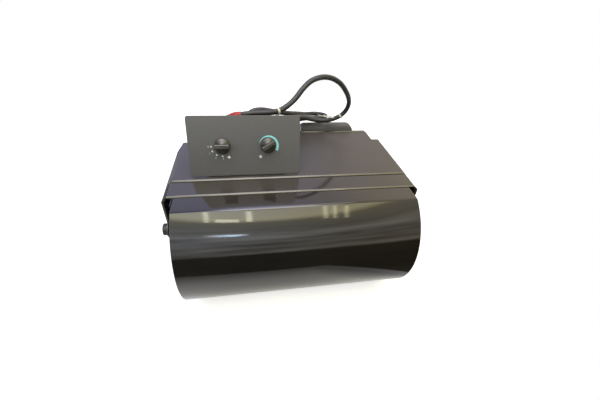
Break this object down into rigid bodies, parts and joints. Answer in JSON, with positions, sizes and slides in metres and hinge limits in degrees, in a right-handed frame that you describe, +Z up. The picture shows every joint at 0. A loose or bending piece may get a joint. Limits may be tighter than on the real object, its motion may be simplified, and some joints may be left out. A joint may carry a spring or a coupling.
{
  "type": "vehicle evaporator and blower unit",
  "caption": "Under-dash cooling unit with a round blower cover, swivelling air vents, a two-knob remote panel and its looped wiring harness.",
  "frame": {"origin": "on the flat underside of the lower case, in the middle of its width", "axes": "+X across the unit, +Y towards the air outlets, +Z up"},
  "size_m": [0.4264, 0.3438, 0.3477],
  "materials": {
    "gloss_case": "polished moulded plastic",
    "matte_moulding": "fine grained moulding",
    "knob_black": "satin moulding",
    "panel_coat": "fine textured powder coat",
    "rubber": "moulded rubber",
    "cable_sheath": "soft sheath",
    "red_sleeve": "heat-shrink sleeve",
    "pale_tie": "nylon tie",
    "ceramic": "cement resistor body",
    "steel": "zinc plated",
    "aluminium": "mill finish",
    "brass": "machined",
    "copper": "drawn copper"
  },
  "bodies": {
    "housing": {"top_cover": "gloss_case", "lower_case": "gloss_case", "front_cover": "gloss_case", "end_plate_left": "matte_moulding", "end_plate_right": "matte_moulding", "outlet_panel": "matte_moulding", "scroll_left": "matte_moulding", "scroll_right": "matte_moulding", "drain_tray": "matte_moulding", "drain_spout": "matte_moulding", "fan_switch": "matte_moulding", "thermostat": "matte_moulding", "motor_cap_left": "steel", "motor_cap_right": "steel", "motor_case": "steel", "motor_cradle": "steel", "motor_strap": "steel", "bearing_left": "steel", "bearing_right": "steel", "panel_bracket": "steel", "fan_nut": "steel", "thermostat_nut": "steel", "bracket_screw_left": "steel", "bracket_screw_right": "steel", "case_screw_left_front": "steel", "case_screw_left_rear": "steel", "case_screw_right_front": "steel", "case_screw_right_rear": "steel", "core_fins": "aluminium", "core_end_left": "aluminium", "core_end_right": "aluminium", "expansion_valve": "aluminium", "liquid_pipe": "aluminium", "suction_pipe": "aluminium", "liquid_nut": "brass", "suction_nut": "brass", "capillary": "copper", "control_plate": "panel_coat", "side_boss_left": "rubber", "side_boss_right": "rubber", "grommet": "rubber", "harness": "cable_sheath", "red_sleeve": "red_sleeve", "tie_panel": "pale_tie", "tie_loop": "pale_tie", "speed_resistor": "ceramic"},
    "rotor": {"motor_shaft": "steel", "armature": "copper", "fan_left": "matte_moulding", "fan_right": "matte_moulding"},
    "fan_dial": {"fan_knob": "knob_black"},
    "thermostat_dial": {"thermostat_knob": "knob_black"},
    "ring_left_lower": {"vent_ring_left_lower": "matte_moulding"},
    "vanes_left_lower": {"vent_vanes_left_lower": "matte_moulding"},
    "ring_left_upper": {"vent_ring_left_upper": "matte_moulding"},
    "vanes_left_upper": {"vent_vanes_left_upper": "matte_moulding"},
    "ring_right_lower": {"vent_ring_right_lower": "matte_moulding"},
    "vanes_right_lower": {"vent_vanes_right_lower": "matte_moulding"},
    "ring_right_upper": {"vent_ring_right_upper": "matte_moulding"},
    "vanes_right_upper": {"vent_vanes_right_upper": "matte_moulding"}
  },
  "joints": [
    {"name": "fan_spin", "type": "hinge", "parent": "housing", "child": "rotor", "pos_m": [0, -0.0864, 0.1168], "axis": [1, 0, 0], "continuous": true},
    {"name": "fan_speed", "type": "hinge", "parent": "housing", "child": "fan_dial", "pos_m": [-0.11435, -0.05492, 0.26383], "axis": [0, -0.9259, 0.3778], "range_deg": [0, 90]},
    {"name": "temperature", "type": "hinge", "parent": "housing", "child": "thermostat_dial", "pos_m": [-0.04305, -0.05492, 0.26383], "axis": [0, -0.9259, 0.3778], "range_deg": [-60, 240]},
    {"name": "ring_turn_left_lower", "type": "hinge", "parent": "housing", "child": "ring_left_lower", "pos_m": [-0.0945, 0.109, 0.072], "axis": [0, 1, 0], "continuous": true},
    {"name": "vane_tilt_left_lower", "type": "hinge", "parent": "ring_left_lower", "child": "vanes_left_lower", "pos_m": [-0.0945, 0.109, 0.072], "axis": [1, 0, 0], "range_deg": [-35, 35]},
    {"name": "ring_turn_left_upper", "type": "hinge", "parent": "housing", "child": "ring_left_upper", "pos_m": [-0.0945, 0.109, 0.172], "axis": [0, 1, 0], "continuous": true},
    {"name": "vane_tilt_left_upper", "type": "hinge", "parent": "ring_left_upper", "child": "vanes_left_upper", "pos_m": [-0.0945, 0.109, 0.172], "axis": [1, 0, 0], "range_deg": [-35, 35]},
    {"name": "ring_turn_right_lower", "type": "hinge", "parent": "housing", "child": "ring_right_lower", "pos_m": [0.0945, 0.109, 0.072], "axis": [0, 1, 0], "continuous": true},
    {"name": "vane_tilt_right_lower", "type": "hinge", "parent": "ring_right_lower", "child": "vanes_right_lower", "pos_m": [0.0945, 0.109, 0.072], "axis": [1, 0, 0], "range_deg": [-35, 35]},
    {"name": "ring_turn_right_upper", "type": "hinge", "parent": "housing", "child": "ring_right_upper", "pos_m": [0.0945, 0.109, 0.172], "axis": [0, 1, 0], "continuous": true},
    {"name": "vane_tilt_right_upper", "type": "hinge", "parent": "ring_right_upper", "child": "vanes_right_upper", "pos_m": [0.0945, 0.109, 0.172], "axis": [1, 0, 0], "range_deg": [-35, 35]}
  ]
}
